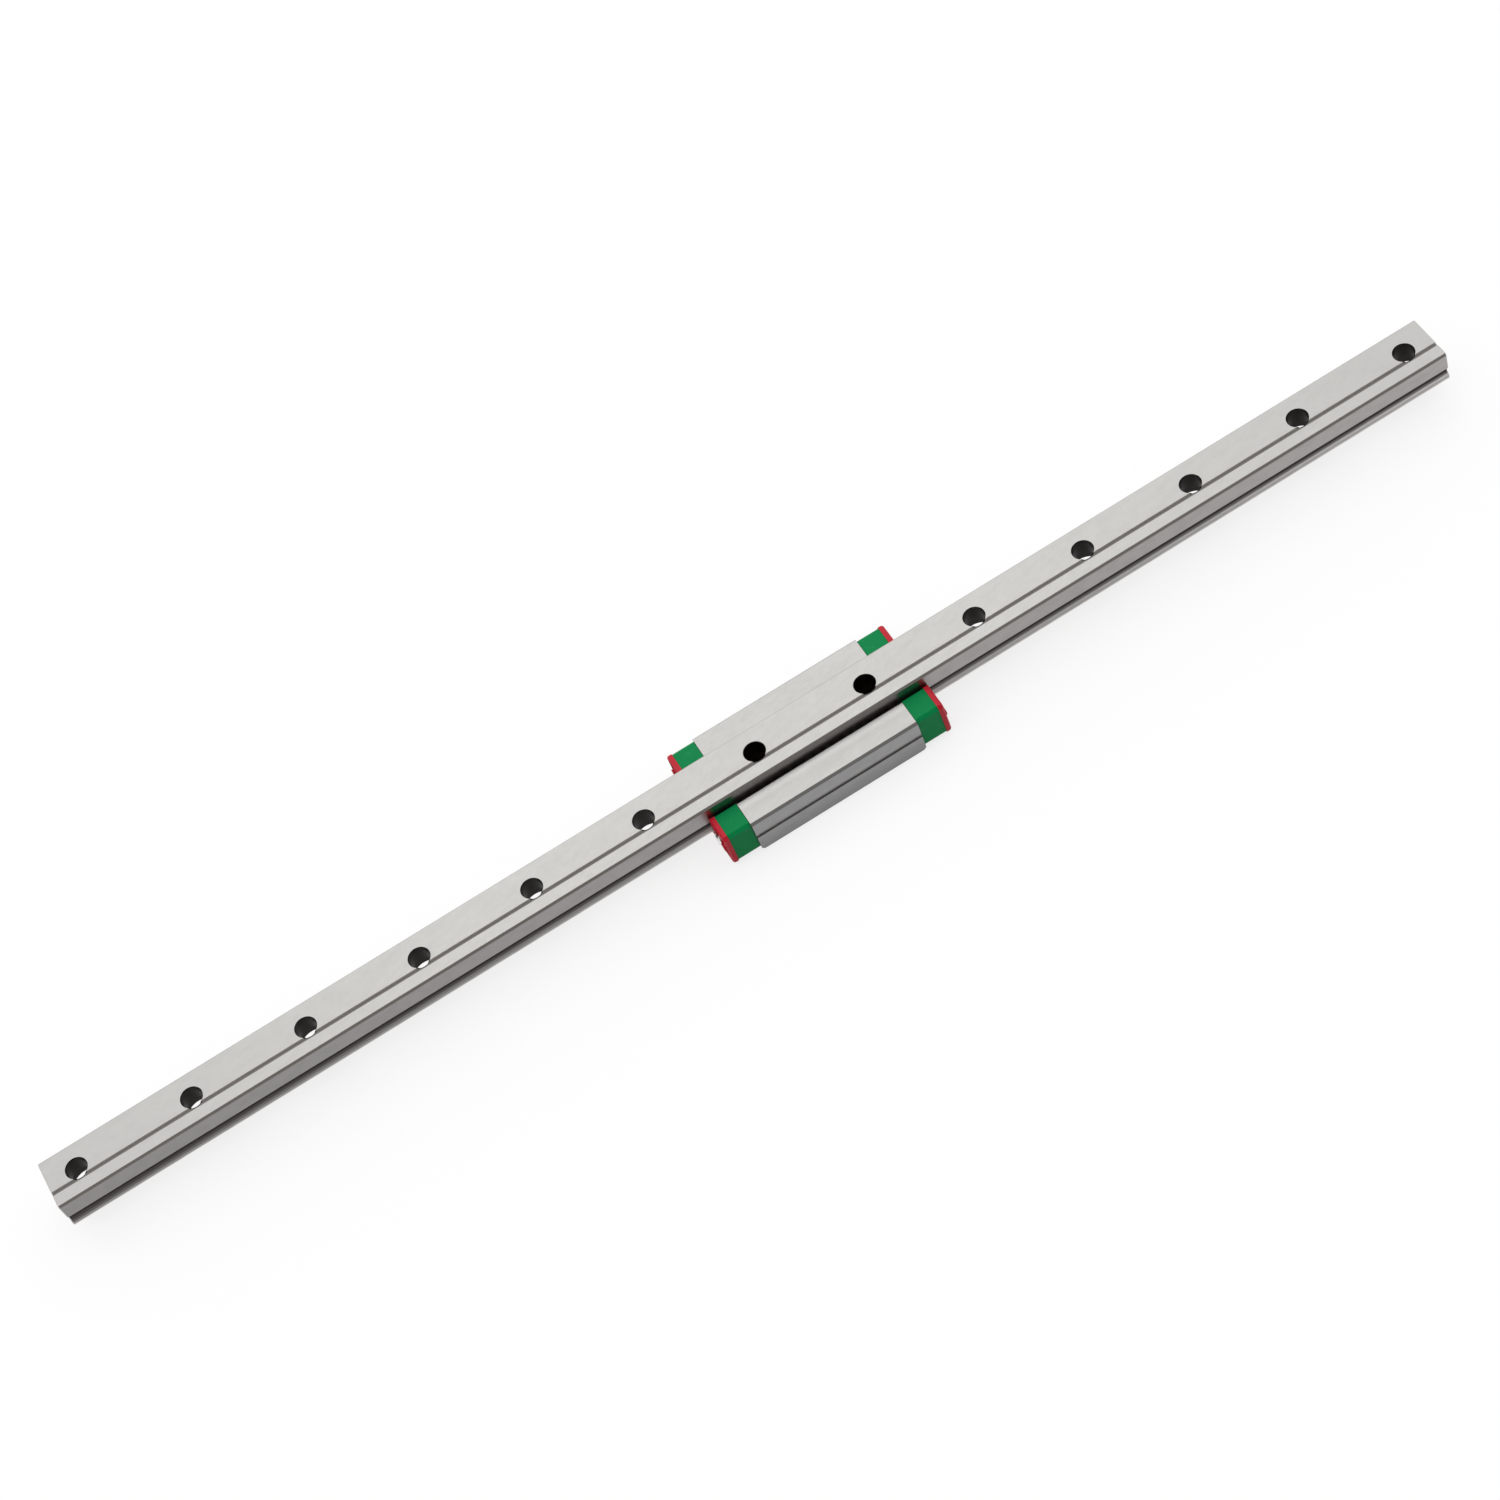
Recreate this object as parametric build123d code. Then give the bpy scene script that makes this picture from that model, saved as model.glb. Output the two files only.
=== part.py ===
from build123d import *
import math
import os

# A miniature ball-bearing linear guide: a ground steel rail with one long carriage on it.
# It lies upside down, as it does on a bench: the carriage's mounting face is on the surface
# at Z = 0, and the rail's underside looks up.
# X runs along the rail, Y across it, and the origin is under the middle of the rail.

# Rail
rail_length = 250.0
rail_width = 9.0
rail_height = 6.5
rail_top_chamfer = 0.4
rail_foot_chamfer_y = 0.25
rail_foot_chamfer_z = 0.41
rail_end_chamfer = 0.15
hole_pitch = 20.0
hole_d = 3.5
hole_edge_break = 0.1
counterbore_d = 6.0
counterbore_depth = 3.5
counterbore_edge_break = 0.5
end_wall = 1.0
datum_groove_y = -1.825
datum_groove_width = 0.75
datum_groove_depth = 0.3
datum_groove_flank = 0.15

# Ball track
ball_d = 1.588
ball_play = 0.03
track_arch_extra_r = 0.048
track_below_rail_top = 2.07
track_mouth_width = 1.83
track_mouth_chamfer = 0.15
return_distance = 2.8
return_bore_play = 0.1
ball_spacing_slack = 0.08

# Carriage: steel body
assembly_height = 10.0
carriage_x = 8.3
body_length = 29.9
body_width = 20.0
foot_clearance = 2.2
channel_side_gap = 0.7
channel_top_gap = 0.35
channel_corner_r = 0.3
leg_chamfer = 0.4
mount_edge_chamfer = 0.65
mount_end_chamfer = 1.1
side_groove_z = 4.44
side_groove_width = 0.92
side_groove_depth = 0.25
mount_hole_tap_d = 2.5
mount_hole_depth = 3.0
mount_hole_edge_break = 0.25
mount_spacing_x = 16.0
mount_spacing_y = 15.0

# Carriage: end caps
cap_length = 4.0
cap_side_inset = 0.35
cap_foot_inset = 0.05
cap_mount_inset = 0.6
cap_channel_gap = 0.5
cap_leg_chamfer = 0.5
cap_corner_r = 1.1
turn_steps = 4
turn_sides = 8

# Carriage: end seals
seal_length = 0.9
seal_proud = 0.12
seal_lip_clearance = 0.15
seal_lip_flare = 0.3
seal_edge_chamfer = 0.25
seal_rim_width = 0.55
seal_face_recess = 0.25
boss_d = 1.4
boss_height = 0.3
boss_y = 8.4
boss_z = 4.5

# Levels and places that follow
mount_face_z = 0.0
rail_foot_z = mount_face_z + assembly_height
rail_top_z = rail_foot_z - rail_height
track_z = rail_top_z + track_below_rail_top
leg_face_z = rail_foot_z - foot_clearance
rail_half = rail_width / 2
body_half = body_width / 2
channel_half = rail_half + channel_side_gap
channel_floor_z = rail_top_z - channel_top_gap
track_y = (rail_half + channel_half) / 2
return_y = track_y + return_distance
turn_r = return_distance / 2
turn_y = (track_y + return_y) / 2
ball_r = ball_d / 2
return_bore_r = ball_r + return_bore_play
body_start_x = carriage_x - body_length / 2
body_end_x = carriage_x + body_length / 2
least_end = counterbore_d / 2 + counterbore_edge_break + end_wall
hole_count = int((rail_length - 2 * least_end) / hole_pitch) + 1


def from_points(*points):
    return make_face(Polyline(*points, close=True))


def along_x(section, start, end):
    """The section, drawn in Y and Z, as a bar between two places along X."""
    low, high = sorted((start, end))
    plane = Plane(origin=(low, 0, 0), x_dir=(0, 1, 0), z_dir=(1, 0, 0))
    return extrude(plane * section, high - low)


def x_cylinder(radius, start, end, y, z):
    return along_x(Pos(y, z) * Circle(radius), start, end)


def gothic_track(side, into, wall_y, shrink=0.0):
    """A ball track: the lens between two circles, a pointed arch, with its mouth chamfered.

    side is the sign of Y, into points from the mouth into the steel, and wall_y is the wall
    that the mouth opens in.
    """
    arch_r = ball_r + track_arch_extra_r
    stand_off = track_arch_extra_r - ball_play
    shift = stand_off * math.cos(math.radians(45))
    centre_y = side * track_y - into * shift
    upper = Pos(centre_y, track_z - shift) * Circle(arch_r - shrink)
    lower = Pos(centre_y, track_z + shift) * Circle(arch_r - shrink)
    mouth = track_mouth_width / 2 - shrink
    throat = mouth - track_mouth_chamfer
    outer = side * wall_y - into * track_mouth_chamfer
    inner = side * wall_y + into * track_mouth_chamfer
    flare = from_points(
        (outer, track_z + mouth + track_mouth_chamfer),
        (inner, track_z + throat),
        (inner, track_z - throat),
        (outer, track_z - mouth - track_mouth_chamfer),
    )
    return (upper & lower) + flare


def rail_section(clearance=0.0):
    """The rail's outline in Y and Z, or the outline that clears it all round."""
    half = rail_half + clearance
    foot = rail_foot_z + clearance
    top = rail_top_z - clearance
    outline = from_points(
        (half - rail_foot_chamfer_y, foot),
        (half, foot - rail_foot_chamfer_z),
        (half, top + rail_top_chamfer),
        (half - rail_top_chamfer, top),
        (-half + rail_top_chamfer, top),
        (-half, top + rail_top_chamfer),
        (-half, foot - rail_foot_chamfer_z),
        (-half + rail_foot_chamfer_y, foot),
    )
    for side in (1, -1):
        outline -= gothic_track(side, -side, half, clearance)
    return outline


def datum_groove():
    half = datum_groove_width / 2
    floor_half = half - datum_groove_flank
    floor_z = rail_foot_z - datum_groove_depth
    return from_points(
        (datum_groove_y - half, rail_foot_z),
        (datum_groove_y - floor_half, floor_z),
        (datum_groove_y + floor_half, floor_z),
        (datum_groove_y + half, rail_foot_z),
    )


def rail_hole():
    """One counterbored screw hole: the head's recess opens in the rail's top, which faces down."""
    radius = hole_d / 2
    recess_r = counterbore_d / 2
    outline = from_points(
        (0, rail_top_z),
        (recess_r + counterbore_edge_break, rail_top_z),
        (recess_r, rail_top_z + counterbore_edge_break),
        (recess_r, rail_top_z + counterbore_depth),
        (radius, rail_top_z + counterbore_depth),
        (radius, rail_foot_z - hole_edge_break),
        (radius + hole_edge_break, rail_foot_z),
        (0, rail_foot_z),
    )
    return revolve(Plane.XZ * outline, Axis.Z)


def make_rail():
    rail = along_x(rail_section() - datum_groove(), -rail_length / 2, rail_length / 2)
    ends = rail.faces().filter_by(Axis.X)
    rail = chamfer(ends.edges(), rail_end_chamfer)
    first_x = -(hole_count - 1) * hole_pitch / 2
    cutter = rail_hole()
    return rail - [Pos(first_x + i * hole_pitch, 0, 0) * cutter for i in range(hole_count)]


def saddle_section(half, foot_z, mount_z, gap, floor_z, foot_chamfer):
    """A U that stands round the rail: two legs that end at foot_z, on a web from mount_z to floor_z."""
    inner = rail_half + gap
    return from_points(
        (inner, foot_z),
        (half - foot_chamfer, foot_z),
        (half, foot_z - foot_chamfer),
        (half, mount_z),
        (-half, mount_z),
        (-half, foot_z - foot_chamfer),
        (-half + foot_chamfer, foot_z),
        (-inner, foot_z),
        (-inner, floor_z),
        (inner, floor_z),
    )


def mount_hole():
    """A blind tapping hole in the mounting face, with its edge broken."""
    radius = mount_hole_tap_d / 2
    outline = from_points(
        (0, mount_face_z),
        (radius + mount_hole_edge_break, mount_face_z),
        (radius, mount_face_z + mount_hole_edge_break),
        (radius, mount_face_z + mount_hole_depth),
        (0, mount_face_z + mount_hole_depth),
    )
    return revolve(Plane.XZ * outline, Axis.Z)


def make_body():
    section = saddle_section(
        body_half, leg_face_z, mount_face_z, channel_side_gap, channel_floor_z, leg_chamfer
    )
    lower = [v for v in section.vertices() if abs(v.Y - mount_face_z) < mount_edge_chamfer / 4]
    section = chamfer(lower, mount_edge_chamfer)
    corners = [v for v in section.vertices() if abs(v.Y - channel_floor_z) < channel_corner_r / 4]
    section = fillet(corners, channel_corner_r)
    for side in (1, -1):
        section -= gothic_track(side, side, channel_half)
        section -= Pos(side * body_half, side_groove_z) * Rectangle(2 * side_groove_depth, side_groove_width)
        section -= Pos(side * return_y, track_z) * Circle(return_bore_r)
    body = along_x(section, body_start_x, body_end_x)
    mount_face = body.faces().sort_by(Axis.Z)[0]
    body = chamfer(mount_face.edges().filter_by(Axis.Y), mount_end_chamfer)
    drill = mount_hole()
    holes = GridLocations(mount_spacing_x, mount_spacing_y, 2, 2)
    body -= [Pos(carriage_x, 0, 0) * place * drill for place in holes]
    return body


def saddle_outline(proud):
    """The outline that the moulded end pieces share, grown by how far it stands proud."""
    half = body_half - cap_side_inset + proud
    foot = leg_face_z - cap_foot_inset + proud
    mount = mount_face_z + cap_mount_inset - proud
    outline = from_points(
        (half - cap_leg_chamfer, foot),
        (half, foot - cap_leg_chamfer),
        (half, mount),
        (-half, mount),
        (-half, foot - cap_leg_chamfer),
        (-half + cap_leg_chamfer, foot),
    )
    lower = [v for v in outline.vertices() if abs(v.Y - mount) < cap_corner_r / 4]
    return fillet(lower, cap_corner_r)


def slot_over_rail(half, floor_z):
    """The open side of a saddle, from floor_z up past the ends of its legs."""
    top = rail_foot_z
    return from_points((-half, floor_z), (half, floor_z), (half, top), (-half, top))


def turn_tunnel(inner_x, outward, side):
    """The ball's way round one end, as an eight-sided tunnel that bends in equal mitred steps."""
    step = math.pi / turn_steps
    corner_r = turn_r / math.cos(step / 2)
    corners = [(inner_x, side * track_y, track_z)]
    for i in range(turn_steps):
        angle = (i + 0.5) * step
        x = inner_x + outward * corner_r * math.sin(angle)
        y = side * (turn_y - corner_r * math.cos(angle))
        corners.append((x, y, track_z))
    corners.append((inner_x, side * return_y, track_z))
    mouth = Plane(origin=corners[0], x_dir=(0, 1, 0), z_dir=(outward, 0, 0))
    section = mouth * RegularPolygon(return_bore_r, turn_sides, major_radius=False, rotation=180 / turn_sides)
    return sweep(section, path=Polyline(*corners), transition=Transition.RIGHT)


def make_cap(inner_x, outward):
    """One end cap, with the two turns that lead the balls back."""
    section = saddle_outline(0) - slot_over_rail(rail_half + cap_channel_gap, channel_floor_z)
    cap = along_x(section, inner_x, inner_x + outward * cap_length)
    for side in (1, -1):
        cap -= turn_tunnel(inner_x, outward, side)
    return cap


def make_seal(inner_x, outward):
    """One end seal: a rimmed plate whose lip follows the rail, with a raised boss on each leg."""
    face_x = inner_x + outward * seal_length
    recess_x = face_x - outward * seal_face_recess
    outline = saddle_outline(seal_proud)
    lip_half = rail_half + seal_lip_clearance
    foot = leg_face_z - cap_foot_inset + seal_proud
    flare = from_points(
        (-lip_half, foot - seal_lip_flare),
        (lip_half, foot - seal_lip_flare),
        (lip_half + seal_lip_flare, foot),
        (-lip_half - seal_lip_flare, foot),
    )
    window = rail_section(seal_lip_clearance) + slot_over_rail(lip_half, leg_face_z - cap_leg_chamfer) + flare
    plate = along_x(outline, inner_x, face_x)
    face = plate.faces().sort_by(Axis.X)[-1 if outward > 0 else 0]
    plate = chamfer(face.edges(), seal_edge_chamfer)
    seal = plate - along_x(window, inner_x, face_x)
    inside_rim = offset(outline, -seal_rim_width)
    lip = slot_over_rail(lip_half + seal_rim_width, rail_top_z - seal_lip_clearance - seal_rim_width)
    seal -= along_x(inside_rim - lip, recess_x, face_x)
    for side in (1, -1):
        seal += x_cylinder(boss_d / 2, recess_x, face_x + outward * boss_height, side * boss_y, boss_z)
    return seal


def faceted_ball():
    """A ball cut as a cube with its edges and corners bevelled, all corners on the ball's sphere."""
    unit = ball_r / math.sqrt(2 + (1 + math.sqrt(2)) ** 2)
    side = 2 * (1 + math.sqrt(2)) * unit
    cube = Box(side, side, side)
    return chamfer(cube.edges(), math.sqrt(2) * unit)


def circuit_places():
    """The ball centres round one closed circuit, as X and the distance from the rail's middle plane."""
    turn = math.pi * turn_r
    path = 2 * (body_length + turn)
    count = int(path / (ball_d + ball_spacing_slack))
    places = []
    for i in range(count):
        run = i * path / count
        if run < body_length:
            places.append((body_start_x + run, track_y))
        elif run < body_length + turn:
            angle = (run - body_length) / turn_r
            places.append((body_end_x + turn_r * math.sin(angle), turn_y - turn_r * math.cos(angle)))
        elif run < 2 * body_length + turn:
            places.append((body_end_x - (run - body_length - turn), return_y))
        else:
            angle = (run - 2 * body_length - turn) / turn_r
            places.append((body_start_x - turn_r * math.sin(angle), turn_y + turn_r * math.cos(angle)))
    return places


def make_circuit(side):
    ball = faceted_ball()
    return Compound(children=[Pos(x, side * y, track_z) * ball for x, y in circuit_places()])


pieces = {"rail": make_rail(), "carriage_body": make_body()}
for end_name, end_x, outward in (("left", body_start_x, -1), ("right", body_end_x, 1)):
    seal_x = end_x + outward * cap_length
    pieces[f"end_cap_{end_name}"] = make_cap(end_x, outward)
    pieces[f"end_seal_{end_name}"] = make_seal(seal_x, outward)
for side_name, side in (("near", -1), ("far", 1)):
    pieces[f"ball_circuit_{side_name}"] = make_circuit(side)

os.makedirs("parts", exist_ok=True)
for name, piece in pieces.items():
    export_step(piece, f"parts/{name}.step")
    print(name, len(piece.solids()), round(piece.volume, 2))
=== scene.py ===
import bpy
import bmesh
import math
from mathutils import Matrix, Vector


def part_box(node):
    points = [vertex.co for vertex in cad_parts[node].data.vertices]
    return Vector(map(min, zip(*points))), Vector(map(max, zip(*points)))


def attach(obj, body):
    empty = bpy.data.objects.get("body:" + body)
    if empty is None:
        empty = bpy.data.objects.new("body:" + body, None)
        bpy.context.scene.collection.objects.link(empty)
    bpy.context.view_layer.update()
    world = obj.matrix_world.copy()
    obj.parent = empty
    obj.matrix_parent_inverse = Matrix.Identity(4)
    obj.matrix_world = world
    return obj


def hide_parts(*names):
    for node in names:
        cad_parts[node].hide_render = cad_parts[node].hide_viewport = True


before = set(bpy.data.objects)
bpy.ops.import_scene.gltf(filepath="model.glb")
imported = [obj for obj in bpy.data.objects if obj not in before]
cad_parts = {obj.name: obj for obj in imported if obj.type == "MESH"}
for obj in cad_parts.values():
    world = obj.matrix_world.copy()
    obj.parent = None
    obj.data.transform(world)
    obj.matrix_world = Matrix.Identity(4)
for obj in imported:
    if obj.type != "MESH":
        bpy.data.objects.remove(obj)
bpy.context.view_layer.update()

# A miniature linear guide that lies upside down on its carriage, so that the rail's underside looks up

# Lengths are in millimetres unless a name or heading says otherwise, and MM makes them the frame's metres
MM = 0.001

# Camera: where the photograph was taken from, with its lens and its crop
CAMERA_PLACE = (-45.2, -318.9, 456.0)
CAMERA_AZIMUTH = math.radians(9.82)
CAMERA_ELEVATION = math.radians(54.20)
CAMERA_ROLL = math.radians(23.59)
CAMERA_CLIP = (10.0, 20000.0)
PHOTO_SIDE_PX = 1500.0
FOCAL_PX = 3580.3
LENS_CENTRE_PX = (813.75, 727.0)
SENSOR_MM = 36.0

# Sizes that the looks share with the solids
HOLE_PITCH = 20.0
HOLE_R = 1.75
HOLE_EDGE_BREAK = 0.1
COUNTERBORE_R = 3.0
COUNTERBORE_DEPTH = 3.5
COUNTERBORE_EDGE_BREAK = 0.5
RAIL_END_CHAMFER = 0.15
TRACK_Z = (4.62, 6.52)
DATUM_GROOVE_Y = -1.825
DATUM_GROOVE_HALF = 0.42
SIDE_GROOVE_Z = 4.44
SIDE_GROOVE_HALF = 0.5
CHANNEL_SIDE_GAP = 0.7
CHANNEL_TOP_GAP = 0.35
MOUNT_EDGE_CHAMFER = 0.65
MOUNT_END_CHAMFER = 1.1
MOUNT_HOLE_R = 1.25
MOUNT_SPACING = (16.0, 15.0)
SEAL_FACE_RECESS = 0.25
BOSS_HEIGHT = 0.3
BALL_R = 0.794

# End screws: the crown is in shares of the head's radius and height, and the turn is in radians
SCREW_PLACE = (6.35, 3.75)
SCREW_HEAD_R = 1.2
SCREW_HEAD_HEIGHT = 0.72
SCREW_CROWN = ((0.0, 1.0), (0.55, 0.97), (0.85, 0.82), (1.0, 0.5), (1.0, 0.0))
SCREW_STEPS = 32
SCREW_TURN = 0.5
CROSS_ARM = (1.35, 0.3, 1.0)
CROSS_TAPER = 0.6
CROSS_ABOVE_HEAD = 0.1

# Thread crests in the mounting holes, where half the width of a crest's foot is a share of the pitch
THREAD_PITCH = 0.5
THREAD_DEPTH = 0.13
THREAD_SINK = 0.03
THREAD_FOOT = 0.42
THREAD_TURNS = 5
THREAD_START = 0.35
THREAD_STEPS = 24

# Points nearer to each other than these, in metres, are one point
SAME_POINT_OF_BALL = 1e-6
SAME_POINT_OF_SCREW = 1e-7


def box_mm(node):
    low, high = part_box(node)
    return Vector(low) / MM, Vector(high) / MM


body_low, body_high = box_mm("carriage_body")
rail_low, rail_high = box_mm("rail")
body_middle = (body_low + body_high) / 2


# Shader graphs


def grey(value):
    return (value, value, value, 1.0)


def srgb(red, green, blue):
    """A colour as it is seen on a screen, 0 to 255, made linear."""
    linear = [
        (v / 255 / 12.92) if v <= 10 else ((v / 255 + 0.055) / 1.055) ** 2.4
        for v in (red, green, blue)
    ]
    return (*linear, 1.0)


WHITE = grey(1.0)


class Wire:
    """A shader socket whose arithmetic becomes Math nodes."""

    def __init__(self, graph, socket):
        self.graph = graph
        self.socket = socket

    def math(self, operation, *values):
        return self.graph.node("Math", {"operation": operation}, dict(enumerate(values)))

    def __add__(self, other):
        return self.math("ADD", self, other)

    def __sub__(self, other):
        return self.math("SUBTRACT", self, other)

    def __rsub__(self, other):
        return self.math("SUBTRACT", other, self)

    def __mul__(self, other):
        return self.math("MULTIPLY", self, other)

    def __truediv__(self, other):
        return self.math("DIVIDE", self, other)

    def __pow__(self, other):
        return self.math("POWER", self, other)

    def __gt__(self, other):
        return self.math("GREATER_THAN", self, other)

    def __lt__(self, other):
        return self.math("LESS_THAN", self, other)

    def __abs__(self):
        return self.math("ABSOLUTE", self)

    __radd__ = __add__
    __rmul__ = __mul__


class Graph:
    """A node tree under construction: node() adds any node and wires its inputs."""

    def __init__(self, owner):
        owner.use_nodes = True
        self.tree = owner.node_tree
        self.tree.nodes.clear()

    def node(self, kind, settings=None, inputs=None, output=0):
        made = self.tree.nodes.new("ShaderNode" + kind)
        for key, value in (settings or {}).items():
            if key == "stops":
                self.set_stops(made.color_ramp, value)
            else:
                setattr(made, key, value)
        for key, value in (inputs or {}).items():
            if isinstance(value, Wire):
                self.tree.links.new(value.socket, made.inputs[key])
            else:
                made.inputs[key].default_value = value
        return Wire(self, made.outputs[output]) if len(made.outputs) else None

    def set_stops(self, ramp, stops):
        while len(ramp.elements) < len(stops):
            ramp.elements.new(1.0)
        for element, (place, colour) in zip(ramp.elements, stops):
            element.position = place
            element.color = colour

    def place(self):
        """The point on the object, in millimetres."""
        coords = self.node("TexCoord", output="Object")
        return self.node("VectorMath", {"operation": "SCALE"}, {0: coords, "Scale": 1 / MM})

    def axes(self, place):
        split = self.node("SeparateXYZ", {}, {0: place})
        outputs = split.socket.node.outputs
        return [Wire(self, outputs[i]) for i in range(3)]

    def noise(
        self, place, scale, detail, stretch=(1, 1, 1), turn=(0, 0, 0), roughness=0.5, shift=(0, 0, 0)
    ):
        mapped = self.node(
            "Mapping", {"vector_type": "TEXTURE"},
            {"Vector": place, "Scale": stretch, "Rotation": turn, "Location": shift},
        )
        return self.node(
            "TexNoise", {"noise_dimensions": "3D"},
            {"Vector": mapped, "Scale": scale, "Detail": detail, "Roughness": roughness},
        )

    def ramp(self, value, low, high, smooth=True):
        """0 below low, 1 above high."""
        kind = "SMOOTHSTEP" if smooth else "LINEAR"
        return self.node("MapRange", {"interpolation_type": kind}, {0: value, 1: low, 2: high})

    def mix(self, factor, first, second):
        return self.node("Mix", {"data_type": "RGBA"}, {0: factor, 6: first, 7: second}, output=2)

    def bump(self, height, depth_mm, strength):
        return self.node("Bump", {}, {"Height": height, "Distance": depth_mm * MM, "Strength": strength})

    def surface(self, **inputs):
        named = {key.replace("_", " "): value for key, value in inputs.items()}
        shader = self.node("BsdfPrincipled", {}, named)
        self.node("OutputMaterial", {}, {"Surface": shader})


def inside(value, low, high, soft):
    """1 between low and high, with soft edges."""
    graph = value.graph
    return graph.ramp(value, low - soft, low + soft) * (1 - graph.ramp(value, high - soft, high + soft))


# Steel's tones: the ground faces, then the painted light and painted shade laid over sides, edges, grooves,
# holes and channel, then the mottle, the balls and the screws
GROUND_TONES = srgb(189, 188, 185), srgb(200, 199, 195)
# Painted shade: the rail's upward face darker towards its ends
RAIL_END_PAINTED_SHADE = srgb(178, 177, 175)
# Painted light: the near leg's face lightened along its inner margin, where the rail shades it
PAINTED_LIGHT_MARGIN_TONE = srgb(252, 251, 247)
# Painted highlight: a pale band along the rail's sides just above their lower edge
PAINTED_HIGHLIGHT_RIM_TONE = srgb(238, 236, 233)
# Painted shade: the rail's sides darker than its faces, lighter towards its end at high X
RAIL_SIDE_PAINTED_SHADES = srgb(142, 140, 139), srgb(166, 162, 160)
# Painted shade: the block's sides darker than its faces, and darker still towards their foot
BLOCK_SIDE_PAINTED_SHADES = srgb(126, 126, 127), srgb(148, 148, 149)
# Painted shade: the rail's edge breaks and far edge, and the block's mounting chamfers, made darker
CHAMFER_PAINTED_SHADE = srgb(136, 131, 126)
# Painted shade: the rail's end chamfers, dimmed to about the tone of the faces beside them
END_CHAMFER_PAINTED_SHADE = srgb(196, 194, 191)
# Painted shade: the chamfers along the block's legs, made darker
LEG_CHAMFER_PAINTED_SHADE = srgb(160, 157, 153)
# Painted shade: the datum groove made darker than the face around it
DATUM_GROOVE_PAINTED_SHADE = srgb(118, 115, 112)
# Painted light: the datum groove's flank, lighter than the groove's floor
GROOVE_FLANK_PAINTED_LIGHT = srgb(184, 181, 177)
# Painted light: the block's side groove, lightened against its own shade
SIDE_GROOVE_PAINTED_LIGHT = srgb(152, 150, 148)
# Painted shade: the rail's holes and counterbores made near-black inside
HOLE_PAINTED_SHADE = srgb(34, 31, 28)
# Painted light: the channel's walls made pale brown, so that the gap beside the rail is lighter where they
# are reflected
CHANNEL_PAINTED_LIGHT = srgb(214, 196, 172)
MOTTLE_TONE = srgb(96, 93, 100)
BALL_SHADES = srgb(120, 112, 104), srgb(130, 124, 116)
SCREW_SHADES = srgb(236, 236, 234), srgb(242, 242, 240)

# Painted shade and painted highlight in the rail's track from its foot upwards, pale at the foot and dark
# above: first at the rail's darker end and then at its paler end
TRACK_PAINTED_SHADING = (
    (
        (0.0, srgb(146, 143, 142)), (0.2, srgb(84, 78, 79)), (0.42, srgb(54, 48, 49)),
        (0.6, srgb(30, 26, 25)), (1.0, srgb(20, 18, 17)),
    ),
    (
        (0.0, srgb(254, 252, 250)), (0.07, srgb(240, 238, 236)), (0.14, srgb(160, 158, 156)),
        (0.22, srgb(106, 104, 102)), (0.32, srgb(68, 66, 64)), (0.5, srgb(32, 30, 28)),
    ),
)

# How rough each finish is, how much the marks sway it, and how far a ground face mirrors
GROUND_ROUGHNESS = 0.34
UNGROUND_ROUGHNESS = 0.4
SIDE_ROUGHNESS = 0.27
BALL_ROUGHNESS = 0.2
SCREW_ROUGHNESS = 0.22
ROUGHNESS_SWAY = 0.12
ZONE_ROUGHNESS_SWAY = 0.06
GROUND_METAL = 0.6

# Marks in steel: how fine each layer is, and how far it is drawn out
FINE_MARKS = {"scale": 7.0, "detail": 3.0, "stretch": (9, 1, 1)}
BROAD_MARKS = {"scale": 1.1, "detail": 2.0, "stretch": (5, 1, 1)}
CLOUDING = {"scale": 0.12, "detail": 2.0, "stretch": (2.5, 1, 1)}
MOTTLE = {"scale": 0.8, "detail": 3.0, "stretch": (1.8, 1, 1)}
DRAWN_LINES = {"scale": 11.0, "detail": 2.0, "stretch": (80, 1, 1)}

# Lay of the grinding marks, in radians, and the share of it that the broad marks follow
RAIL_LAY = math.radians(24)
BLOCK_LAY = math.radians(14)
SCREW_LAY = 0.3
BROAD_LAY_SHARE = 0.7

# The marks are shifted by the steel's seed along X, and by this many times the seed along Y
SEED_SHIFT_Y = 1.7

# Shares of the fine marks, broad marks and clouding in the tone, and of the first two in the height
TONE_SHARES = (0.6, 0.25, 0.15)
HEIGHT_SHARES = (0.8, 0.2)
TONE_SPREAD = (0.3, 0.7)
MARK_DEPTH = 0.002
MARK_STRENGTH = 0.6
DRAWN_MARKS = 9.0
MOTTLE_SPREAD = (0.35, 0.75)
MOTTLE_SHARE = 0.05
SIDE_MOTTLE_SHARE = 0.09

# How closely the painted light and shade keep to their own surfaces
ON_FACE = 0.02
OFF_FACE = 0.01
ABOVE_SEAT = 0.03
EDGE_SOFTNESS = 0.005
OFF_RAIL_END = 0.004

# Where the rail's painted light and shade lie, and the shares of the two that aren't laid on whole
RAIL_UPPER_DEPTH = 0.5
RAIL_EDGE_WIDTH = 0.24
FAR_EDGE_WIDTHS = (0.34, 0.2)
FAR_EDGE_SHARE = 0.5
FLANK_DEPTH = 0.28
TRACK_REACH = 1.2
RIM_ABOVE_TOP = 0.38
RIM_FADE_Z = (3.95, 4.25)
RAIL_END_FADE_X = (35, 130)
RAIL_END_SHARE = 0.8

# Where the block's painted light and shade lie, and how the light painted along the near leg's margin falls
# off
SIDE_GROOVE_REACH = 0.3
FOOT_ABOVE_GROOVE = 1.2
LEG_EDGE_WIDTH = 0.42
LEG_EDGE_HEIGHT = 0.41
LIT_MARGIN_Y = (4.9, 7.4)
LIT_MARGIN_FALL = 1.4


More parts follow.
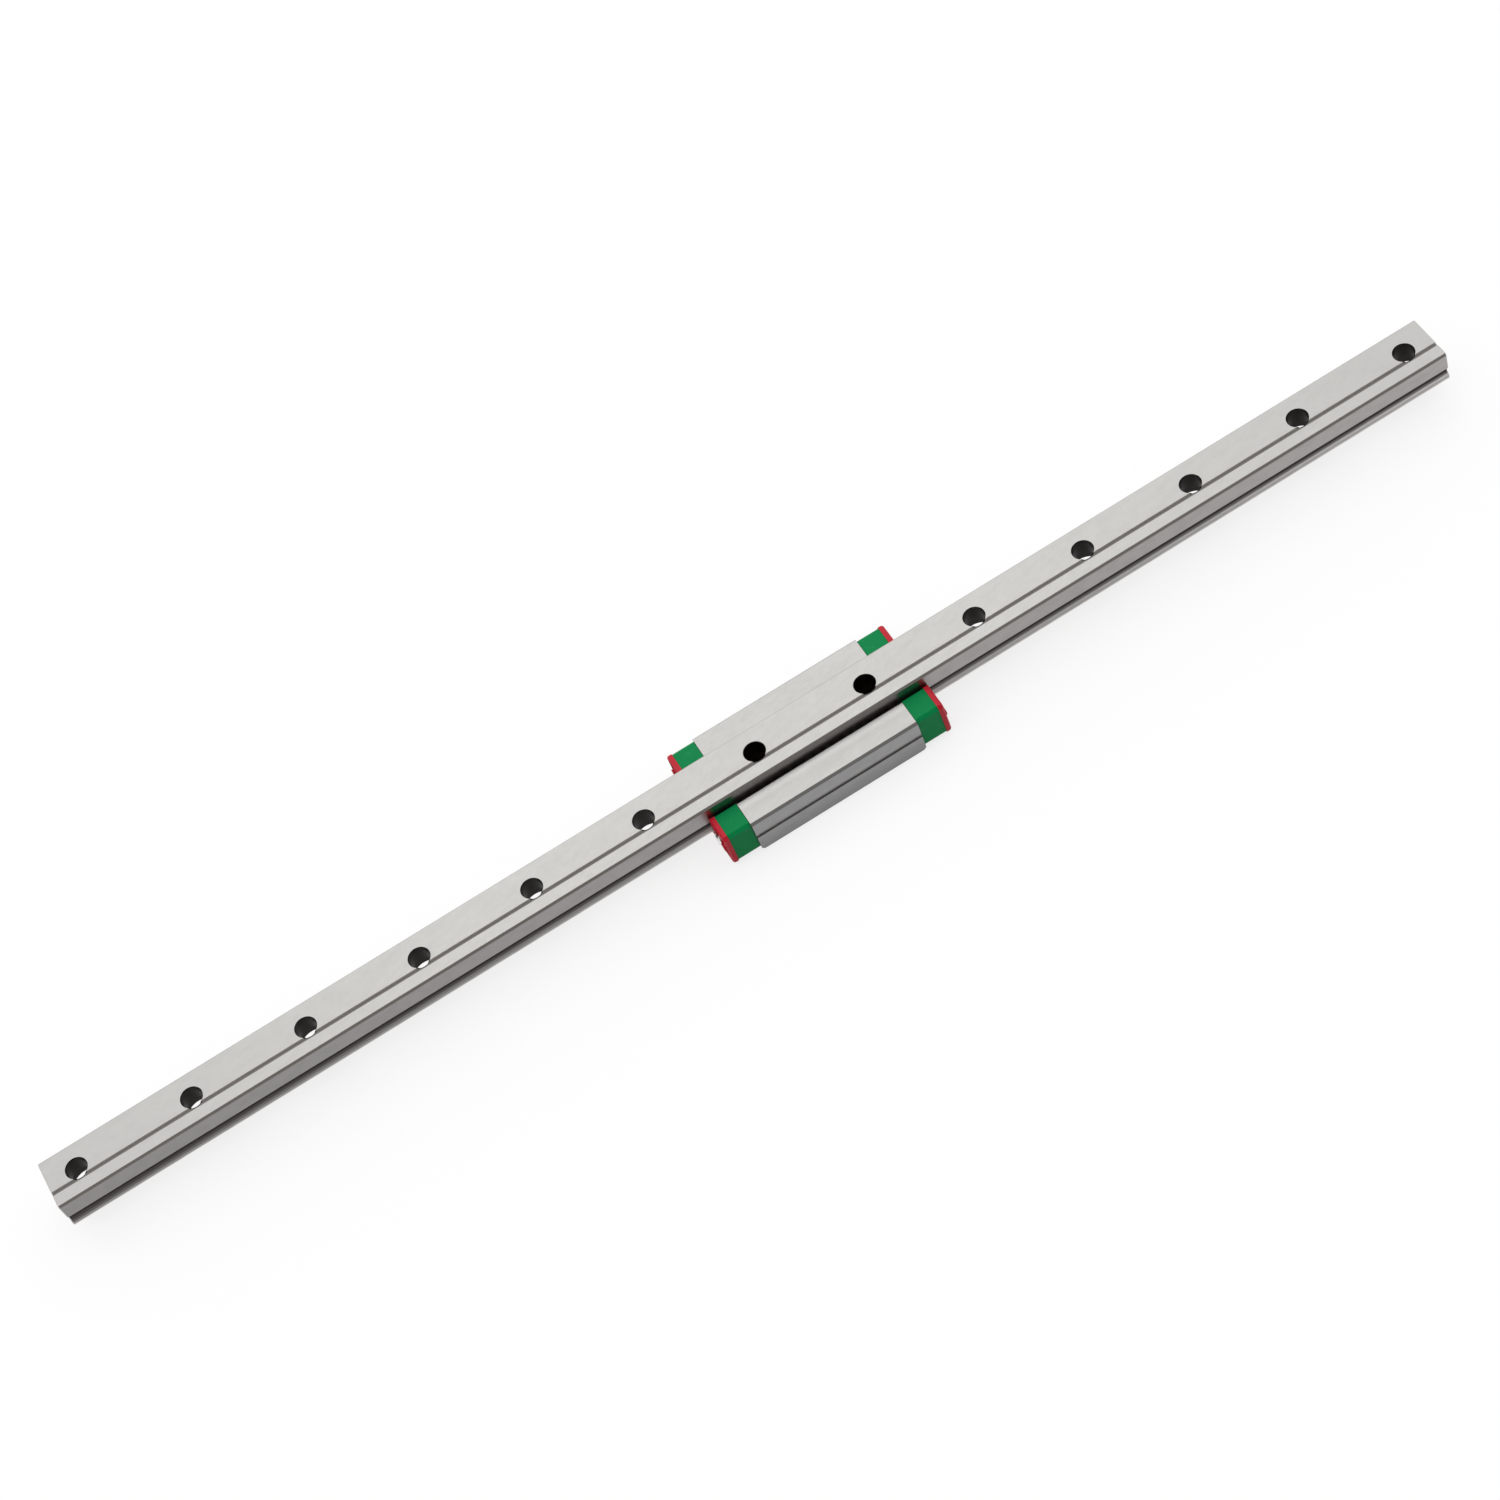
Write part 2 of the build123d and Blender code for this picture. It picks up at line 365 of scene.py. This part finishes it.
def ground_finish(graph, place, lay, seed):
    """Tone and height of the fine marks that a grinding wheel leaves along its lay."""
    shift = (seed, seed * SEED_SHIFT_Y, 0)
    fine = graph.noise(place, **FINE_MARKS, turn=(0, 0, lay), shift=shift)
    broad = graph.noise(place, **BROAD_MARKS, turn=(0, 0, lay * BROAD_LAY_SHARE), shift=shift)
    cloud = graph.noise(place, **CLOUDING, shift=shift)
    tone = fine * TONE_SHARES[0] + broad * TONE_SHARES[1] + cloud * TONE_SHARES[2]
    return tone, fine * HEIGHT_SHARES[0] + broad * HEIGHT_SHARES[1]


def steel(name, roughness, lay, seed, shades=GROUND_TONES, zones=None):
    """Steel with the fine marks of its making.

    zones() gives the mask of its sides, which carry drawn lines and painted shade, and a list of masks with
    their colour and roughness, their colours being painted light and shade.
    """
    material = bpy.data.materials.new(name)
    graph = Graph(material)
    place = graph.place()
    tone, height = ground_finish(graph, place, lay, seed)
    colour = graph.mix(graph.ramp(tone, *TONE_SPREAD), *shades)
    mottle = graph.noise(place, **MOTTLE, shift=(0, 0, seed))
    rough = roughness - ROUGHNESS_SWAY / 2 + ROUGHNESS_SWAY * tone
    metal = 1.0
    mottled = MOTTLE_SHARE
    if zones is not None:
        ground = 1.0
        side, listed = zones(graph, *graph.axes(place))
        drawn = graph.noise(place, **DRAWN_LINES, shift=(seed, 0, 0))
        height = height + side * (drawn - height) * DRAWN_MARKS
        mottled = MOTTLE_SHARE + side * SIDE_MOTTLE_SHARE
        for mask, shade, zone_rough in listed:
            colour = graph.mix(mask, colour, shade)
            rough = rough + mask * (zone_rough + ZONE_ROUGHNESS_SWAY * tone - rough)
            ground = ground * (1 - mask)
        metal = 1.0 - ground * (1.0 - GROUND_METAL)
    colour = graph.mix(graph.ramp(mottle, *MOTTLE_SPREAD) * mottled, colour, MOTTLE_TONE)
    graph.surface(
        Base_Color=colour, Metallic=metal, Roughness=rough,
        Normal=graph.bump(height, MARK_DEPTH, MARK_STRENGTH),
    )
    return material


def hole_walls(x, y, z):
    """Mask of the inside of the rail's screw holes and counterbores, which are painted dark as shade."""
    along = x / HOLE_PITCH
    off = (along - along.math("ROUND", along)) * HOLE_PITCH
    from_axis = (off * off + y * y) ** 0.5
    below_face = (z < rail_high.z - EDGE_SOFTNESS) * (z > rail_low.z + ON_FACE)
    seat_z = rail_low.z + COUNTERBORE_DEPTH
    wall = from_axis < HOLE_R + HOLE_EDGE_BREAK + ON_FACE
    seat = (from_axis < COUNTERBORE_R + COUNTERBORE_EDGE_BREAK) * (z < seat_z + ABOVE_SEAT)
    return below_face * wall.math("MAXIMUM", wall, seat)


def rail_zones(graph, x, y, z):
    """The rail's sides, which carry drawn lines and painted shade, and its painted light and shade in the
    order in which they are laid on.
    """
    out = abs(y)
    half = rail_high.y
    clear_of_ends = abs(x) < rail_high.x - OFF_RAIL_END
    upper = (z > rail_high.z - RAIL_UPPER_DEPTH) * clear_of_ends
    beside_track = (z > TRACK_Z[1] - ON_FACE) + (z < TRACK_Z[0] + ON_FACE)
    side = (out > half - ON_FACE) * beside_track * clear_of_ends
    along = graph.ramp(x, rail_low.x, rail_high.x, smooth=False)
    side_painted_shade = graph.mix(along, *RAIL_SIDE_PAINTED_SHADES)
    towards_end = (z > rail_high.z - OFF_FACE) * graph.ramp(abs(x), *RAIL_END_FADE_X)
    datum_y = DATUM_GROOVE_Y - DATUM_GROOVE_HALF, DATUM_GROOVE_Y + DATUM_GROOVE_HALF
    datum = inside(y, *datum_y, ON_FACE) * upper * (z < rail_high.z - ON_FACE)
    flank = datum * (z > rail_high.z - FLANK_DEPTH)
    edge_break = (out > half - RAIL_EDGE_WIDTH) * upper
    far_edge = inside(y, half - FAR_EDGE_WIDTHS[0], half - FAR_EDGE_WIDTHS[1], ON_FACE)
    end_edge = inside(abs(x), rail_high.x - RAIL_END_CHAMFER, rail_high.x - OFF_FACE, EDGE_SOFTNESS)
    track = (out < half - OFF_FACE) * inside(z, *TRACK_Z, ON_FACE) * (out > half - TRACK_REACH)
    track = track * clear_of_ends
    depth = graph.ramp(z, *TRACK_Z)
    dark_end, pale_end = (graph.node("ValToRGB", {"stops": stops}, {0: depth}) for stops in TRACK_PAINTED_SHADING)
    track_painted_shading = graph.mix(along, dark_end, pale_end)
    rim = side * (z > rail_low.z + RIM_ABOVE_TOP) * (1 - graph.ramp(z, *RIM_FADE_Z))
    return side, [
        # painted shade: darker towards the rail's ends
        (towards_end * RAIL_END_SHARE, RAIL_END_PAINTED_SHADE, GROUND_ROUGHNESS),
        # painted shade on the rail's sides
        (side, side_painted_shade, SIDE_ROUGHNESS),
        # painted highlight along the lower edge of the rail's sides
        (rim, PAINTED_HIGHLIGHT_RIM_TONE, GROUND_ROUGHNESS),
        # painted shade and painted highlight in the track
        (track, track_painted_shading, UNGROUND_ROUGHNESS),
        # painted shade on the rail's edge breaks
        (edge_break, CHAMFER_PAINTED_SHADE, UNGROUND_ROUGHNESS),
        # painted shade on the rail's end chamfers
        (end_edge, END_CHAMFER_PAINTED_SHADE, UNGROUND_ROUGHNESS),
        # painted shade along the rail's far edge
        (far_edge * FAR_EDGE_SHARE * upper, CHAMFER_PAINTED_SHADE, UNGROUND_ROUGHNESS),
        # painted shade in the datum groove
        (datum, DATUM_GROOVE_PAINTED_SHADE, UNGROUND_ROUGHNESS),
        # painted light on the datum groove's flank
        (flank, GROOVE_FLANK_PAINTED_LIGHT, UNGROUND_ROUGHNESS),
        # painted shade inside the rail's holes
        (hole_walls(x, y, z), HOLE_PAINTED_SHADE, UNGROUND_ROUGHNESS),
    ]


def body_zones(graph, x, y, z):
    """The block's sides, which carry drawn lines and painted shade, and the painted light and shade of its
    margins, grooves, chamfers and channel.
    """
    out = abs(y)
    half = body_high.y
    side = out > half - ON_FACE
    off_side = out < half - OFF_FACE
    foot = graph.ramp(z, body_low.z, SIDE_GROOVE_Z + FOOT_ABOVE_GROOVE)
    groove_z = SIDE_GROOVE_Z - SIDE_GROOVE_HALF, SIDE_GROOVE_Z + SIDE_GROOVE_HALF
    groove = off_side * (out > half - SIDE_GROOVE_REACH) * inside(z, *groove_z, ON_FACE)
    beside_leg_face = (z > body_high.z - LEG_EDGE_HEIGHT) * (z < body_high.z - OFF_FACE)
    chamfer = off_side * (out > half - LEG_EDGE_WIDTH) * beside_leg_face
    near_leg_face = (y < 0.0) * (z > body_high.z - OFF_FACE)
    margin = near_leg_face * (1 - graph.ramp(out, *LIT_MARGIN_Y)) ** LIT_MARGIN_FALL
    end_chamfer_x = body_high.x - body_middle.x - MOUNT_END_CHAMFER
    end_height = (abs(x - body_middle.x) > end_chamfer_x) * MOUNT_END_CHAMFER
    chamfer_top = body_low.z + end_height.math("MAXIMUM", end_height, MOUNT_EDGE_CHAMFER)
    mount_chamfer = off_side * (z < chamfer_top) * (z > body_low.z + OFF_FACE)
    channel = (out < rail_high.y + CHANNEL_SIDE_GAP + ON_FACE) * (z < body_high.z - ON_FACE)
    channel = channel * (z > rail_low.z - CHANNEL_TOP_GAP - ON_FACE)
    return side, [
        # painted light along the near leg's inner margin
        (margin, PAINTED_LIGHT_MARGIN_TONE, GROUND_ROUGHNESS),
        # painted shade on the block's sides, darker towards their foot
        (side, graph.mix(foot, *BLOCK_SIDE_PAINTED_SHADES), GROUND_ROUGHNESS),
        # painted light in the block's side groove
        (groove, SIDE_GROOVE_PAINTED_LIGHT, UNGROUND_ROUGHNESS),
        # painted shade on the chamfers along the legs
        (chamfer, LEG_CHAMFER_PAINTED_SHADE, UNGROUND_ROUGHNESS),
        # painted shade on the block's mounting chamfers
        (mount_chamfer, CHAMFER_PAINTED_SHADE, UNGROUND_ROUGHNESS),
        # painted light on the channel's walls
        (channel, CHANNEL_PAINTED_LIGHT, UNGROUND_ROUGHNESS),
    ]


def make_steels():
    rail = steel("rail_ground_steel", GROUND_ROUGHNESS, RAIL_LAY, seed=3.1, zones=rail_zones)
    body = steel("block_ground_steel", GROUND_ROUGHNESS, BLOCK_LAY, seed=17.0, zones=body_zones)
    balls = steel("ball_steel", BALL_ROUGHNESS, lay=0.0, seed=5.0, shades=BALL_SHADES)
    screw = steel("screw_plated_steel", SCREW_ROUGHNESS, SCREW_LAY, seed=8.0, shades=SCREW_SHADES)
    return rail, body, balls, screw


# Moulded plastic: each one's own tone, a darker one and a worn one, then how much it gleams and is scratched
GREEN = srgb(0, 134, 76), srgb(0, 126, 65), srgb(120, 200, 160)
GREEN_GLEAM = 0.12
GREEN_SCRATCHES = 0.35
RED = srgb(196, 8, 42), srgb(182, 3, 30), srgb(235, 130, 140)
RED_GLEAM = 0.35
RED_SCRATCHES = 0.2

# Marks in plastic: how fine each layer is, and where it starts and ends
PLASTIC_CLOUD = {"scale": 0.35, "detail": 3.0}
PLASTIC_GRAIN = {"scale": 6.0, "detail": 2.0}
SPECKS = {"scale": 2.6, "detail": 1.0}
HAIRLINES = {"scale": 0.55, "detail": 4.0, "roughness": 0.65}
SCRATCHED_PATCHES = {"scale": 0.4, "detail": 1.0}
SPECK_SPREAD = (0.72, 0.80)
PATCH_SPREAD = (0.56, 0.66)
NOISE_MIDDLE = 0.5
HAIRLINE_WIDTH = 0.006

# Shares of those marks in the plastic's tone, roughness and height
CLOUD_SHARE = 0.5
GRAIN_SHARE = 0.3
SPECK_SHARE = 0.25
PLASTIC_ROUGHNESS = 0.42
GRAIN_ROUGHNESS = 0.14
WORN_SMOOTHNESS = 0.08
PEEL_HEIGHTS = (0.5, 0.5)
SCRATCH_HEIGHT = -0.3
PEEL_DEPTH = 0.012
PEEL_STRENGTH = 0.5
# The seam where a cap meets the steel is a near-black line of painted shadow
SEAM_HALF = 0.09
SEAM_SHARE = 0.85
SEAM_PAINTED_SHADOW = grey(0.004)


def plastic(name, colour, dark, worn, seams, seed, gleam, scratches):
    """Moulded plastic with a faint orange peel, pale specks and hairline scratches.

    seams are the places along X where it butts against its neighbour, which show as a dark line of painted
    shadow for the shade in the gap.
    """
    material = bpy.data.materials.new(name)
    graph = Graph(material)
    place = graph.place()
    x = graph.axes(place)[0]
    shift = (seed, seed, seed)
    cloud = graph.noise(place, **PLASTIC_CLOUD, shift=shift)
    grain = graph.noise(place, **PLASTIC_GRAIN, shift=shift)
    specks = graph.ramp(graph.noise(place, **SPECKS, shift=(seed * 2, 0, 0)), *SPECK_SPREAD)
    hair = graph.noise(place, **HAIRLINES, shift=(0, seed, 0))
    lines = 1 - graph.ramp(abs(hair - NOISE_MIDDLE), 0.0, HAIRLINE_WIDTH)
    patches = graph.ramp(graph.noise(place, **SCRATCHED_PATCHES, shift=(seed, 0, seed)), *PATCH_SPREAD)
    scratched = lines * patches
    wear = specks * SPECK_SHARE + scratched * scratches
    tone = graph.mix(cloud * CLOUD_SHARE + grain * GRAIN_SHARE, colour, dark)
    tone = graph.mix(wear, tone, worn)
    for seam in seams:
        # painted shadow along the seam
        tone = graph.mix((abs(x - seam) < SEAM_HALF) * SEAM_SHARE, tone, SEAM_PAINTED_SHADOW)
    height = grain * PEEL_HEIGHTS[0] + cloud * PEEL_HEIGHTS[1] + scratched * SCRATCH_HEIGHT
    graph.surface(
        Base_Color=tone, Roughness=PLASTIC_ROUGHNESS + GRAIN_ROUGHNESS * grain - WORN_SMOOTHNESS * wear,
        Specular_IOR_Level=gleam,
        Normal=graph.bump(height, PEEL_DEPTH, PEEL_STRENGTH),
    )
    return material


def make_plastics():
    """The materials of the caps and seals, under their nodes' names."""
    made = {}
    for end, seam in (("left", body_low.x), ("right", body_high.x)):
        made[f"end_cap_{end}"] = plastic(
            f"green_cap_{end}", *GREEN, seams=(seam,), seed=11.0 + seam,
            gleam=GREEN_GLEAM, scratches=GREEN_SCRATCHES,
        )
        made[f"end_seal_{end}"] = plastic(
            f"red_seal_{end}", *RED, seams=(), seed=31.0 + seam,
            gleam=RED_GLEAM, scratches=RED_SCRATCHES,
        )
    return made


# Pieces


def finish_piece(name, bm, body, material, smooth_degrees):
    bmesh.ops.recalc_face_normals(bm, faces=bm.faces)
    mesh = bpy.data.meshes.new(name)
    bm.to_mesh(mesh)
    bm.free()
    mesh.shade_smooth()
    mesh.set_sharp_from_angle(angle=math.radians(smooth_degrees))
    piece = bpy.data.objects.new(name, mesh)
    bpy.context.scene.collection.objects.link(piece)
    mesh.materials.append(material)
    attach(piece, body)
    return piece


def ball_places(node):
    """The middle of each loose ball in a circuit's node."""
    bm = bmesh.new()
    bm.from_mesh(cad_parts[node].data)
    bmesh.ops.remove_doubles(bm, verts=bm.verts, dist=SAME_POINT_OF_BALL)
    bm.verts.index_update()
    left = set(bm.verts)
    places = []
    while left:
        start = min(left, key=lambda v: v.index)
        found, queue = {start}, [start]
        while queue:
            for edge in queue.pop().link_edges:
                for vert in edge.verts:
                    if vert not in found:
                        found.add(vert)
                        queue.append(vert)
        left -= found
        corners = sorted(found, key=lambda v: v.index)
        places.append(sum((v.co for v in corners), Vector()) / len(corners))
    bm.free()
    return places


def make_balls(node, material):
    bm = bmesh.new()
    for place in ball_places(node):
        bmesh.ops.create_icosphere(bm, subdivisions=3, radius=BALL_R * MM, matrix=Matrix.Translation(place))
    piece = finish_piece(node + "_round", bm, "carriage", material, smooth_degrees=60)
    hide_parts(node)


def make_screw(end, outward, side, material):
    """A cross-recessed pan head, seated in the seal's recess."""
    low, high = box_mm(f"end_seal_{end}")
    outermost = high.x if outward > 0 else low.x
    seat_x = outermost - outward * (BOSS_HEIGHT + SEAL_FACE_RECESS)
    bm = bmesh.new()
    verts = [bm.verts.new((r * SCREW_HEAD_R * MM, 0, h * SCREW_HEAD_HEIGHT * MM)) for r, h in SCREW_CROWN]
    edges = [bm.edges.new(pair) for pair in zip(verts, verts[1:])]
    bmesh.ops.spin(
        bm, geom=verts + edges, cent=(0, 0, 0), axis=(0, 0, 1), angle=2 * math.pi, steps=SCREW_STEPS,
        use_merge=True,
    )
    bmesh.ops.remove_doubles(bm, verts=bm.verts, dist=SAME_POINT_OF_SCREW)
    bmesh.ops.contextual_create(bm, geom=[e for e in bm.edges if e.is_boundary])
    turn = Matrix.Rotation(outward * math.pi / 2, 4, "Y") @ Matrix.Rotation(SCREW_TURN + side, 4, "Z")
    seat = Matrix.Translation(Vector((seat_x, side * SCREW_PLACE[0], SCREW_PLACE[1])) * MM)
    cutter = make_cross()
    bmesh.ops.transform(bm, matrix=seat @ turn, verts=bm.verts)
    bmesh.ops.transform(cutter, matrix=seat @ turn, verts=cutter.verts)
    carve(bm, cutter)
    side_name = "near" if side < 0 else "far"
    name = f"end_screw_{end}_{side_name}"
    finish_piece(name, bm, "carriage", material, smooth_degrees=25)


def make_cross():
    """The tapered cross that is sunk into a screw's head."""
    bm = bmesh.new()
    middle = Vector((0, 0, SCREW_HEAD_HEIGHT + CROSS_ABOVE_HEAD)) * MM
    for turn in (0, math.pi / 2):
        arm = bmesh.ops.create_cube(bm, size=1.0)["verts"]
        bmesh.ops.scale(bm, vec=Vector(CROSS_ARM) * MM, verts=arm)
        for vert in arm:
            if vert.co.z < 0:
                vert.co.x *= CROSS_TAPER
                vert.co.y *= CROSS_TAPER
        bmesh.ops.translate(bm, vec=middle, verts=arm)
        bmesh.ops.rotate(bm, cent=(0, 0, 0), matrix=Matrix.Rotation(turn, 3, "Z"), verts=arm)
    return bm


def carve(bm, cutter):
    """Cuts the second mesh out of the first, in place."""
    holders = []
    for label, source in (("carved", bm), ("cutter", cutter)):
        bmesh.ops.recalc_face_normals(source, faces=source.faces)
        mesh = bpy.data.meshes.new(label)
        source.to_mesh(mesh)
        holder = bpy.data.objects.new(label, mesh)
        bpy.context.scene.collection.objects.link(holder)
        holders.append(holder)
    cutter.free()
    carved, tool = holders
    cut = carved.modifiers.new("cut", "BOOLEAN")
    cut.operation = "DIFFERENCE"
    cut.solver = "EXACT"
    cut.use_self = True
    cut.object = tool
    done = bpy.data.meshes.new_from_object(carved.evaluated_get(bpy.context.evaluated_depsgraph_get()))
    bm.clear()
    bm.from_mesh(done)
    for holder in holders:
        bpy.data.objects.remove(holder)


def make_thread(index, place, material):
    """The crests of an M3 thread in one of the carriage's mounting holes."""
    bm = bmesh.new()
    start_z = body_low.z + THREAD_START
    foot = THREAD_PITCH * THREAD_FOOT
    root = MOUNT_HOLE_R + THREAD_SINK
    crest = ((root, -foot), (MOUNT_HOLE_R - THREAD_DEPTH, 0), (root, foot))
    face = bm.faces.new([bm.verts.new(Vector((place.x + r, place.y, start_z + z)) * MM) for r, z in crest])
    bmesh.ops.spin(
        bm, geom=[face], cent=Vector((place.x, place.y, 0)) * MM, axis=(0, 0, 1),
        dvec=Vector((0, 0, THREAD_PITCH / THREAD_STEPS)) * MM,
        angle=2 * math.pi * THREAD_TURNS, steps=THREAD_STEPS * THREAD_TURNS,
    )
    finish_piece(f"mount_thread_{index}", bm, "carriage", material, smooth_degrees=35)


def make_threads(material):
    for i, along in enumerate((-1, 1)):
        for j, across in enumerate((-1, 1)):
            place = Vector((body_middle.x + along * MOUNT_SPACING[0] / 2, across * MOUNT_SPACING[1] / 2, 0))
            make_thread(2 * i + j + 1, place, material)


# Studio


def make_camera():
    azimuth, elevation, roll = CAMERA_AZIMUTH, CAMERA_ELEVATION, CAMERA_ROLL
    level_forward = Vector((math.sin(azimuth), math.cos(azimuth), 0))
    forward = level_forward * math.cos(elevation) - Vector((0, 0, math.sin(elevation)))
    level_right = Vector((math.cos(azimuth), -math.sin(azimuth), 0))
    level_up = level_right.cross(forward)
    right = level_right * math.cos(roll) - level_up * math.sin(roll)
    up = level_up * math.cos(roll) + level_right * math.sin(roll)
    data = bpy.data.cameras.new("camera")
    data.sensor_width = SENSOR_MM
    data.lens = FOCAL_PX / PHOTO_SIDE_PX * SENSOR_MM
    data.shift_x = (PHOTO_SIDE_PX / 2 - LENS_CENTRE_PX[0]) / PHOTO_SIDE_PX
    data.shift_y = (LENS_CENTRE_PX[1] - PHOTO_SIDE_PX / 2) / PHOTO_SIDE_PX
    data.clip_start = CAMERA_CLIP[0] * MM
    data.clip_end = CAMERA_CLIP[1] * MM
    camera = bpy.data.objects.new("camera", data)
    turn = Matrix((right, up, -forward)).transposed()
    camera.matrix_world = Matrix.Translation(Vector(CAMERA_PLACE) * MM) @ turn.to_4x4()
    bpy.context.scene.collection.objects.link(camera)
    bpy.context.scene.camera = camera


# Studio light, pale all round, brightest overhead and behind the guide, and dim on the camera's side
BRIGHT_SIDE = Vector((0.05, 0.55, 0.83)).normalized()
BRIGHT_SPREAD = (0.0, 0.9)
BRIGHT = 1.3
PALE = 0.8
DIM_SIDE = Vector((0.1, -0.8, 0.59)).normalized()
DIM_SPREAD = (0.74, 0.97)
DIM_SHARE = 0.8

# The table lies just under the carriage, and is paler where it is seen than where it lights the guide
TABLE_HALF = 4000.0
TABLE_DROP = 0.02
TABLE_COLOUR = 0.35
SEEN_TABLE_COLOUR = 0.22
SEEN_TABLE_GLOW = 0.78


def make_world():
    world = bpy.data.worlds.new("studio")
    bpy.context.scene.world = world
    graph = Graph(world)
    direction = graph.node("TexCoord", output="Generated")

    def towards(side):
        product = {"operation": "DOT_PRODUCT"}
        return graph.node("VectorMath", product, {0: direction, 1: side}, output="Value")

    level = PALE + (BRIGHT - PALE) * graph.ramp(towards(BRIGHT_SIDE), *BRIGHT_SPREAD)
    level = level * (1 - DIM_SHARE * graph.ramp(towards(DIM_SIDE), *DIM_SPREAD))
    light = graph.node("Background", {}, {"Color": WHITE, "Strength": level})
    graph.node("OutputWorld", {}, {"Surface": light})


def make_table():
    bm = bmesh.new()
    bmesh.ops.create_grid(bm, x_segments=1, y_segments=1, size=TABLE_HALF * MM)
    bmesh.ops.translate(bm, vec=(0, 0, -TABLE_DROP * MM), verts=bm.verts)
    mesh = bpy.data.meshes.new("table")
    bm.to_mesh(mesh)
    bm.free()
    table = bpy.data.objects.new("table", mesh)
    bpy.context.scene.collection.objects.link(table)
    material = bpy.data.materials.new("pale_table")
    graph = Graph(material)
    paper = graph.node("BsdfDiffuse", {}, {"Color": grey(TABLE_COLOUR)})
    shown = graph.node("BsdfDiffuse", {}, {"Color": grey(SEEN_TABLE_COLOUR)})
    glow = graph.node("Emission", {}, {"Color": WHITE, "Strength": SEEN_TABLE_GLOW})
    lit = graph.node("AddShader", {}, {0: shown, 1: glow})
    seen = graph.node("LightPath", output="Is Camera Ray") + graph.node("LightPath", output="Is Glossy Ray")
    seen = seen + graph.node("LightPath", output="Is Transmission Ray")
    surface = graph.node("MixShader", {}, {0: seen, 1: paper, 2: lit})
    graph.node("OutputMaterial", {}, {"Surface": surface})
    mesh.materials.append(material)


def dress(node, material):
    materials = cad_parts[node].data.materials
    materials.clear()
    materials.append(material)


make_camera()
make_world()
make_table()
rail_steel, body_steel, ball_steel, screw_steel = make_steels()
dress("rail", rail_steel)
dress("carriage_body", body_steel)
for node, material in make_plastics().items():
    dress(node, material)
for node in ("ball_circuit_near", "ball_circuit_far"):
    make_balls(node, ball_steel)
for end, outward in (("left", -1), ("right", 1)):
    for side in (-1, 1):
        make_screw(end, outward, side, screw_steel)
make_threads(body_steel)

bpy.context.scene.view_settings.view_transform = "Standard"
